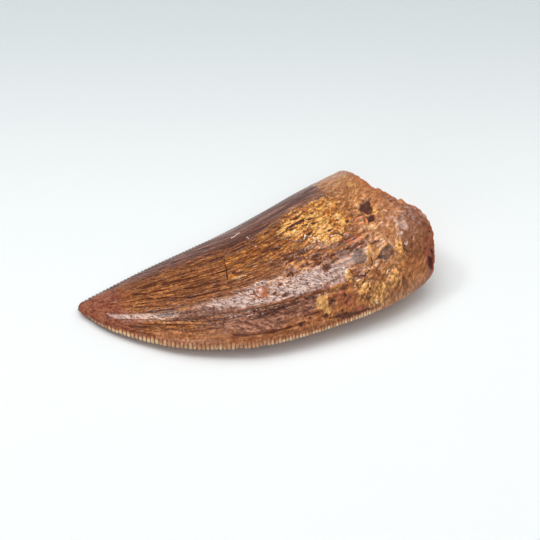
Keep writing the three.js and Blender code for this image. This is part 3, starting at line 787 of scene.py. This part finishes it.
def tooth_mesh():
    """The skin with its relief, closed by the broken face, with every mask as an attribute."""
    g = Grid()
    m, pit_depth = build_marks(g)
    places = skin_places(g, m, pit_depth)
    rings, centre = broken_face(places[-1])
    tip, _ = skin(np.array([0.0]), np.array([np.pi / 2]), np.array([True]))
    grid = np.vstack([places, rings])
    verts = np.vstack([tip, grid.reshape(-1, 3), centre[None]]) * MM

    # Quads between the rows, and triangles round the tip and round the middle of the break.
    index = 1 + np.arange(len(verts) - 2).reshape(grid.shape[:2])
    after = np.roll(index, -1, axis=1)
    quads = np.stack([index[:-1], index[1:], after[1:], after[:-1]], axis=-1).reshape(-1, 4)
    first = np.stack([np.zeros_like(index[0]), index[0], after[0]], axis=-1)
    last = np.stack([index[-1], np.full_like(index[0], len(verts) - 1), after[-1]], axis=-1)
    mesh = bpy.data.meshes.new("tooth_enamel")
    mesh.from_pydata(verts.tolist(), [], quads.tolist() + first.tolist() + last.tolist())
    mesh.polygons.foreach_set("use_smooth", np.ones(len(mesh.polygons), bool))

    # On the broken face only "broken" is 1, and on its outermost ring "break_edge" too.
    skin_end = 1 + g.s.size
    m["broken"] = np.zeros_like(g.s)
    for name, mask in m.items():
        values = np.zeros(len(verts))
        values[0] = mask[0].mean()
        values[1:skin_end] = mask.ravel()
        if name == "break_edge":
            values[skin_end:skin_end + len(index[0])] = 1.0
        elif name == "broken":
            values[skin_end:] = 1.0
        add_attribute(mesh, name, "FLOAT", "value", values)

    lay = np.zeros((len(verts), 3))
    lay[1:skin_end] = np.stack([g.along, g.across, g.true_across], axis=-1).reshape(-1, 3)
    lay[skin_end:] = np.vstack([rings.reshape(-1, 3), centre[None]])[:, [1, 0, 2]] + BROKEN_SHIFT
    add_attribute(mesh, "lay", "FLOAT_VECTOR", "vector", lay)
    mesh.update()
    return mesh


# --- Material -------------------------------------------------------------------------------


def srgb(red, green, blue):
    """A screen colour, 0..255 a channel, as Blender's linear colour."""
    def linear(c):
        c /= 255.0
        return c / 12.92 if c <= 0.04045 else ((c + 0.055) / 1.055) ** 2.4

    return (linear(red), linear(green), linear(blue), 1.0)


class Nodes:
    """Short names for making and joining shader nodes."""

    def __init__(self, material):
        material.use_nodes = True
        self.tree = material.node_tree
        self.tree.nodes.clear()

    def make(self, kind, sockets=None, **settings):
        """A node with these settings. Its sockets take values, or are joined to others' outputs."""
        node = self.tree.nodes.new(kind)
        for key, value in settings.items():
            setattr(node, key, value)
        for key, value in (sockets or {}).items():
            if isinstance(value, bpy.types.NodeSocket):
                self.tree.links.new(value, node.inputs[key])
            else:
                node.inputs[key].default_value = value
        return node

    def mask(self, name):
        return self.make("ShaderNodeAttribute", attribute_name=name).outputs["Fac"]

    def vector(self, operation, a, b):
        return self.make("ShaderNodeVectorMath", {0: a, 1: b}, operation=operation).outputs

    def lay(self, x, y, z):
        """Places on the skin: along, evenly across and truly across the crown, each multiplied."""
        place = self.make("ShaderNodeAttribute", attribute_name="lay").outputs["Vector"]
        return self.vector("MULTIPLY", place, (x, y, z))["Vector"]

    def turned_lay(self, degrees, along, across):
        """Places on the skin, turned and then multiplied."""
        sockets = {"Vector": self.lay(1.0, 0.0, 1.0), "Angle": math.radians(degrees)}
        turned = self.make("ShaderNodeVectorRotate", sockets, rotation_type="Y_AXIS")
        return self.vector("MULTIPLY", turned.outputs["Vector"], (along, 0.0, across))["Vector"]

    def noise(self, place, detail, rough=0.6, distortion=0.0):
        sockets = {"Vector": place, "Scale": 1.0, "Detail": detail, "Roughness": rough}
        sockets["Distortion"] = distortion
        return self.make("ShaderNodeTexNoise", sockets).outputs["Fac"]

    def math(self, operation, *values, clamp=False):
        sockets = dict(enumerate(values))
        return self.make("ShaderNodeMath", sockets, operation=operation, use_clamp=clamp).outputs[0]

    def add(self, a, b, clamp=False):
        return self.math("ADD", a, b, clamp=clamp)

    def minus(self, a, b):
        return self.math("SUBTRACT", a, b)

    def times(self, first, *others):
        for other in others:
            first = self.math("MULTIPLY", first, other)
        return first

    def window(self, value, low, high, to_low=0.0, to_high=1.0):
        """An S-curve from to_low at low to to_high at high."""
        sockets = {"Value": value, "From Min": low, "From Max": high, "To Min": to_low, "To Max": to_high}
        node = self.make("ShaderNodeMapRange", sockets, interpolation_type="SMOOTHSTEP")
        return node.outputs["Result"]

    def near_middle(self, value, outside, inside):
        """0 where a value in 0..1 is as far from its middle as outside, and 1 within inside."""
        off = self.math("ABSOLUTE", self.minus(value, 0.5))
        return self.window(off, outside, inside)

    def mix(self, a, b, share):
        return self.make("ShaderNodeMix", {"Factor": share, 6: a, 7: b}, data_type="RGBA").outputs[2]

    def mix_value(self, a, b, share):
        sockets = {"Factor": share, "A": a, "B": b}
        return self.make("ShaderNodeMix", sockets, data_type="FLOAT").outputs["Result"]

    def paint(self, colour, shade, *shares):
        """The colour with a screen colour laid over it by the product of the shares."""
        return self.mix(colour, srgb(*shade), self.times(*shares))


# Broad colours, from the first laid to the last: mask, deep and light colour, and strength.
BROAD_COLOURS = [
    ("tip", (136, 66, 46), (186, 112, 82), 0.95),
    ("front_band", (166, 98, 60), (214, 142, 94), 0.9),
    ("plum", (72, 30, 20), (160, 98, 76), 0.9),
    ("wrinkled", (142, 84, 62), (200, 138, 108), 0.95),
    ("streak", (128, 76, 60), (190, 136, 112), 0.9),
    ("gold", (164, 86, 30), (224, 146, 64), 0.9),
    ("bright_gold", (198, 114, 42), (250, 184, 100), 1.0),
    ("root", (164, 94, 50), (238, 170, 108), 0.9),
    ("mottled", (132, 68, 34), (222, 146, 84), 0.95),
    ("root_end", (158, 90, 50), (216, 144, 92), 0.95),
    ("root_rim", (122, 72, 46), (168, 112, 80), 0.85),
    ("rim_plum", (116, 62, 44), (156, 100, 74), 0.8),
]
# Small patches: mask, colour and strength.
PATCH_COLOURS = [
    ("yellow", (254, 188, 112), 0.85),
    ("orange", (255, 186, 108), 0.95),
    ("red", (224, 126, 78), 0.7),
    ("grey", (136, 98, 78), 0.85),
    ("dark_grey", (164, 106, 64), 0.85),
    ("maroon", (170, 88, 64), 0.7),
]
# Dark marks: mask, colour and strength.
DARK_MARKS = [
    ("holes", (104, 44, 12), 0.6),
    ("line", (84, 32, 16), 0.85),
    ("pit", (80, 24, 8), 0.94),
    ("crack", (70, 26, 10), 0.95),
]
DARK_RAGGEDNESS = 1.4
# Places that are rougher than the glossy enamel: mask and added roughness.
ROUGHER = [("broken", 0.35), ("worn", 0.04), ("root_end", 0.06), ("grey", 0.3), ("dark_grey", 0.3)]

ENAMEL_IOR = 1.55
ENAMEL_SPECULAR_TINT = (1.0, 0.95, 0.91, 1.0)
BUMP_STRENGTH = 0.7
BUMP_DISTANCE = 0.00014

RING_CENTRE = (42.2, 0.0, -7.6)  # along and across the crown, in millimetres
RING_SPACING = 0.45
RING_WAVER = 4.5


def denticle_colours(n, colour):
    """Pale pointed bars along the keels, with darker slots between them. The bars' lighter colour carries
    a painted highlight at their tips by the keel, and the slots hold painted shade.
    """
    count = n.mask("phase")
    height = n.mask("keel_distance")
    off_bar = n.math("ABSOLUTE", n.minus(n.math("FRACT", count), 0.5))
    half_width = n.minus(0.46, n.times(n.math("POWER", height, 2.0), 0.3))
    bar = n.window(n.minus(half_width, off_bar), -0.06, 0.12)
    # Painted highlight: the bars are painted palest at their tips by the keel, fading up the flank.
    low = n.window(height, 0.9, 0.1)
    pick = n.make("ShaderNodeTexWhiteNoise", {"W": n.math("FLOOR", count)}, noise_dimensions="1D")
    tone = n.window(pick.outputs["Value"], -0.6, 1.0)
    pale_painted_glint = n.paint(srgb(206, 120, 70), (255, 222, 172), low, tone)
    serrated = n.times(n.window(height, 1.1, 0.75), n.mask("serrated"))
    # Painted shade: the serrated band is darkened, which leaves the slots between the pale bars dark.
    colour = n.paint(colour, (136, 74, 46), serrated, 0.7)
    return n.mix(colour, pale_painted_glint, n.times(serrated, bar))


def growth_rings(n, mottle):
    """Fine wavering rings about the middle of the grey patch."""
    away = n.vector("DISTANCE", n.lay(1.0, 0.0, 1.0), RING_CENTRE)["Value"]
    turns = n.add(n.times(away, 1.0 / RING_SPACING), n.times(mottle, RING_WAVER))
    return n.near_middle(n.math("FRACT", turns), 0.3, 0.12)


def enamel_material():
    """Glossy brown enamel, coloured by the masks and broken up by noises."""
    material = bpy.data.materials.new("fossil_enamel")
    n = Nodes(material)
    long_grain = n.noise(n.lay(0.13, 2.3, 0.0), 4.0, distortion=0.7)
    short_grain = n.noise(n.lay(0.4, 3.4, 0.0), 2.0, distortion=0.4)
    mottle = n.noise(n.lay(0.8, 0.0, 1.1), 5.0, distortion=0.3)
    fleck = n.noise(n.lay(2.4, 0.0, 3.2), 3.0)
    twill = n.noise(n.turned_lay(-32.0, 0.9, 3.0), 2.0, distortion=0.3)
    cloudy = n.add(n.times(mottle, 0.75), n.times(fleck, 0.25))
    tinted = n.times(n.minus(n.mask("tint"), 0.5), n.mask("worn"), 0.2)
    toned = n.add(cloudy, tinted)
    light_share = n.mix_value(n.window(toned, 0.4, 0.6), n.window(toned, 0.3, 0.7), n.mask("root"))
    scratch = n.window(twill, 0.5, 0.42)
    # Wriggling creases: the places where a wide noise passes its middle value.
    creases = n.near_middle(n.noise(n.lay(1.1, 0.0, 1.5), 3.0, distortion=1.2), 0.05, 0.015)
    creases = n.times(creases, n.window(mottle, 0.52, 0.44))
    ragged = n.add(n.times(mottle, 0.5), n.times(fleck, 0.5))
    ragged = n.times(n.minus(ragged, 0.5), 1.6)

    def cut(name, raggedness=1.0):
        """A ramp mask with its edge cut ragged by the small noises."""
        return n.window(n.add(n.mask(name), n.times(ragged, raggedness)), 0.35, 0.65)

    stripes = n.window(n.noise(n.lay(0.12, 0.0, 3.0), 3.0, distortion=0.3), 0.42, 0.58)
    # In the wrinkled zone the light colour follows the raised crests of the bump's twill and the deep
    # colour its scratches: painted light and shade on the wrinkles.
    own_shares = {"plum": stripes, "wrinkled": n.window(twill, 0.4, 0.6)}
    colour = n.mix(srgb(156, 88, 48), srgb(212, 138, 78), light_share)
    for name, deep, light, strength in BROAD_COLOURS:
        share = own_shares.get(name, light_share)
        colour = n.mix(colour, n.mix(srgb(*deep), srgb(*light), share), n.times(cut(name), strength))
    for name, shade, strength in PATCH_COLOURS:
        colour = n.paint(colour, shade, cut(name), strength)
    colour = n.paint(colour, (92, 62, 46), growth_rings(n, mottle), cut("grey"), 0.8)
    squiggle = n.near_middle(n.noise(n.lay(1.5, 0.0, 1.9), 2.0, distortion=1.5), 0.12, 0.04)
    colour = n.paint(colour, (54, 30, 18), squiggle, cut("dark_grey"), 0.95)

    # Grain of the enamel: dark threads, and finer ones between them.
    threads = n.window(long_grain, 0.47, 0.38, 0.0, 0.85)
    fine_threads = n.window(short_grain, 0.5, 0.42, 0.0, 0.5)
    # Veins: thin dark lines where a long noise passes its middle value.
    veins = n.near_middle(n.noise(n.lay(0.1, 1.5, 0.0), 3.0, 0.55, 0.4), 0.06, 0.018)
    veins = n.times(veins, n.window(mottle, 0.42, 0.54, 0.2, 0.85))
    for shade, share in ((76, 26, 10), threads), ((84, 34, 14), fine_threads), ((74, 26, 10), veins):
        colour = n.paint(colour, shade, share, n.mask("grain"))
    # Fibres of the root: short dark lines that cross the crown at a slant.
    fibres = n.near_middle(n.noise(n.turned_lay(24.0, 0.5, 1.8), 3.0, distortion=0.8), 0.05, 0.015)
    fibres = n.times(fibres, n.window(mottle, 0.44, 0.54, 0.1, 0.75))
    colour = n.paint(colour, (110, 54, 24), fibres, n.mask("root"))
    # Speckles, on the front of the root and fainter towards the break.
    speckle = n.window(n.noise(n.lay(1.7, 0.0, 2.1), 3.0, distortion=0.6), 0.53, 0.63, 0.0, 0.6)
    front = n.times(n.mask("worn"), n.mask("front_root"))
    speckled = n.add(front, n.times(n.mask("root_end"), 0.3), True)
    colour = n.paint(colour, (92, 38, 20), speckle, speckled)
    for name, shade, strength in DARK_MARKS:
        colour = n.paint(colour, shade, cut(name, DARK_RAGGEDNESS), strength)
    colour = n.paint(colour, (60, 26, 18), n.window(n.mask("back_keel"), 0.3, 0.9), 0.6)
    colour = n.paint(colour, (92, 42, 12), creases, n.mask("worn"), 0.55)
    # Painted highlights: the glints are laid on in a near-white colour.
    colour = n.paint(colour, (255, 236, 214), cut("pale_painted_glint"), 0.9)
    colour = denticle_colours(n, colour)
    colour = n.paint(colour, (184, 78, 36), n.mask("break_edge"), 0.7)
    stone = n.mix(srgb(120, 72, 48), srgb(190, 140, 96), light_share)
    colour = n.mix(colour, stone, n.mask("broken"))

    # Painted shade and light: the colour is darkened in the relief's hollows and in the bump's scratches,
    # and lightened on raised places. The fine speckle is partly the enamel's own tone and partly painted
    # light on the worn enamel's raised folds.
    value = n.window(fleck, 0.33, 0.67, 0.72, 1.3)
    value = n.mix_value(value, 1.0, n.times(n.mask("root"), 0.6))
    # Painted shade: the grain is painted darker in the scratches that the bump cuts.
    value = n.times(value, n.window(n.times(scratch, n.mask("grain")), 0.0, 1.0, 1.06, 0.8))
    # Painted shade and light from the cavity measure: darker in hollows, lighter on raised places.
    painted_relief_shading = n.window(n.mask("cavity"), 0.15, 0.85, 1.2, 0.56)
    value = n.times(value, n.mix_value(painted_relief_shading, 1.0, n.times(n.mask("root_end"), 0.5)))
    shaded = n.make("ShaderNodeHueSaturation", {"Color": colour, "Value": value})

    rough = n.window(fleck, 0.3, 0.7, 0.08, 0.17)
    for name, more in ROUGHER:
        rough = n.add(rough, n.times(n.mask(name), more))
    rough = n.add(rough, n.times(n.mask("plum"), n.window(stripes, 0.0, 1.0, 0.4, 0.06)))
    rough = n.add(rough, n.times(cut("pit", DARK_RAGGEDNESS), 0.6), True)

    # Scratches of the sound enamel and folds of the worn, finer than the mesh.
    shown = n.add(n.mask("streak"), n.times(n.mask("tip"), 0.8))
    shown = n.add(n.add(shown, n.times(n.mask("wrinkled"), 0.9)), 0.25)
    height = n.times(scratch, -0.7, shown)
    folds = n.add(n.times(mottle, 1.6), n.times(fleck, 1.2))
    folds = n.minus(folds, n.times(creases, 0.4))
    folded = n.times(n.mask("worn"), n.window(n.mask("root"), 0.0, 1.0, 1.0, 0.55))
    height = n.add(height, n.times(folds, folded))
    sockets = {"Strength": BUMP_STRENGTH, "Distance": BUMP_DISTANCE, "Height": height}
    bump = n.make("ShaderNodeBump", sockets)

    shader = n.make("ShaderNodeBsdfPrincipled", {
        "Base Color": shaded.outputs["Color"], "Roughness": rough, "Normal": bump.outputs["Normal"],
        "IOR": ENAMEL_IOR, "Specular Tint": ENAMEL_SPECULAR_TINT,
    })
    n.make("ShaderNodeOutputMaterial", {"Surface": shader.outputs["BSDF"]})
    return material


# --- The tooth ------------------------------------------------------------------------------


def add_object(name, data):
    made = bpy.data.objects.new(name, data)
    bpy.context.scene.collection.objects.link(made)
    return made


def make_tooth():
    tooth = add_object("tooth_enamel", tooth_mesh())
    tooth.data.materials.append(enamel_material())
    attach(tooth, "root")
    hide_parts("tooth")


# --- Studio ---------------------------------------------------------------------------------

TARGET = Vector((2.2, 1.45, 4.0)) * MM
CAMERA_AZIMUTH = -31.5
CAMERA_ELEVATION = 48.0
CAMERA_DISTANCE = 0.42
IMAGE_WIDTH = 540  # of the photo, in pixels
PIXEL_MM = 0.148  # width of one pixel at the target
SENSOR = 36.0

# Floor colours from near to far: the darker middle and far colours are painted shade, where the light
# falls off behind the tooth.
FLOOR_NEAR = (0.9, 0.91, 0.905, 1.0)
FLOOR_MIDDLE_SHADE = (0.83, 0.85, 0.845, 1.0)
FLOOR_FAR_SHADE = (0.595, 0.635, 0.64, 1.0)
FLOOR_AWAY = (0.52, 0.853, 0.0)  # across the floor, away from the viewer
MIDDLE_REACH = (-0.01, 0.03)  # how far away the middle colour begins and is full
FAR_REACH = (0.015, 0.075)
FLOOR_HALF = 3.0
LAMP_COLOUR = (0.99, 1.0, 1.0)
SKY_COLOUR = (0.8, 0.92, 1.0, 1.0)
SKY_STRENGTH = 0.11


def add_facing(name, data, azimuth, elevation, distance):
    """A camera or light that faces the target from this azimuth (0 is -Y) and elevation."""
    a, e = math.radians(azimuth), math.radians(elevation)
    towards = Vector((math.sin(a) * math.cos(e), -math.cos(a) * math.cos(e), math.sin(e)))
    made = add_object(name, data)
    made.location = TARGET + towards * distance
    made.rotation_euler = (-towards).to_track_quat("-Z", "Y").to_euler()
    return made


def make_camera():
    data = bpy.data.cameras.new("camera")
    data.sensor_width = SENSOR
    data.lens = SENSOR * CAMERA_DISTANCE / (IMAGE_WIDTH * PIXEL_MM * MM)
    data.clip_start = 0.01
    camera = add_facing("camera", data, CAMERA_AZIMUTH, CAMERA_ELEVATION, CAMERA_DISTANCE)
    bpy.context.scene.camera = camera


# Softboxes: name, azimuth and elevation in degrees, distance, width and height in metres, watts,
# and whether they light the matt colour and the gloss.
SOFTBOXES = [
    ("overhead_core", 179.0, 82.0, 0.6, 0.23, 0.34, 2.2, False, True),
    ("overhead_soft", 178.0, 76.0, 0.6, 0.54, 0.58, 2.36, True, False),
    ("rear_wide", 170.0, 58.0, 0.7, 0.9, 0.8, 0.2, True, True),
    ("front_left_wide", -30.0, 52.0, 0.7, 0.5, 0.4, 0.25, True, True),
    ("low_left_panel", -55.0, 20.0, 0.6, 0.3, 0.2, 0.3, True, True),
    ("right_panel", 92.0, 34.0, 0.7, 0.45, 0.4, 0.85, True, False),
    ("left_rear_panel", -129.0, 58.0, 0.7, 0.17, 0.15, 0.9, True, True),
    ("front_fill", -10.0, 66.0, 0.8, 1.2, 1.0, 2.1, True, False),
]


def make_softboxes():
    for name, azimuth, elevation, distance, width, height, watts, matt, gloss in SOFTBOXES:
        data = bpy.data.lights.new(name, "AREA")
        data.shape = "RECTANGLE"
        data.size, data.size_y = width, height
        data.energy = watts
        data.color = LAMP_COLOUR
        light = add_facing(name, data, azimuth, elevation, distance)
        light.visible_diffuse, light.visible_glossy = matt, gloss


def make_floor():
    """A pale floor with painted shade, which darkens its colour to a cool grey behind the tooth."""
    mesh = bpy.data.meshes.new("floor")
    corners = [(-1, -1), (1, -1), (1, 1), (-1, 1)]
    mesh.from_pydata([(x * FLOOR_HALF, y * FLOOR_HALF, 0) for x, y in corners], [], [(0, 1, 2, 3)])
    floor = add_object("floor", mesh)
    material = bpy.data.materials.new("pale_floor")
    n = Nodes(material)
    place = n.make("ShaderNodeNewGeometry").outputs["Position"]
    away = n.vector("DOT_PRODUCT", place, FLOOR_AWAY)["Value"]
    # Painted shade: the floor's colour darkens from near to far behind the tooth.
    near = n.mix(FLOOR_NEAR, FLOOR_MIDDLE_SHADE, n.window(away, *MIDDLE_REACH))
    colour = n.mix(near, FLOOR_FAR_SHADE, n.window(away, *FAR_REACH))
    sockets = {"Base Color": colour, "Roughness": 0.9, "Specular IOR Level": 0.2}
    shader = n.make("ShaderNodeBsdfPrincipled", sockets)
    n.make("ShaderNodeOutputMaterial", {"Surface": shader.outputs["BSDF"]})
    floor.data.materials.append(material)


def make_world():
    world = bpy.data.worlds.new("studio")
    world.use_nodes = True
    background = world.node_tree.nodes["Background"]
    background.inputs["Color"].default_value = SKY_COLOUR
    background.inputs["Strength"].default_value = SKY_STRENGTH
    bpy.context.scene.world = world


def make_studio():
    bpy.context.scene.view_settings.view_transform = "Standard"
    make_camera()
    make_floor()
    make_world()
    make_softboxes()


make_studio()
make_tooth()
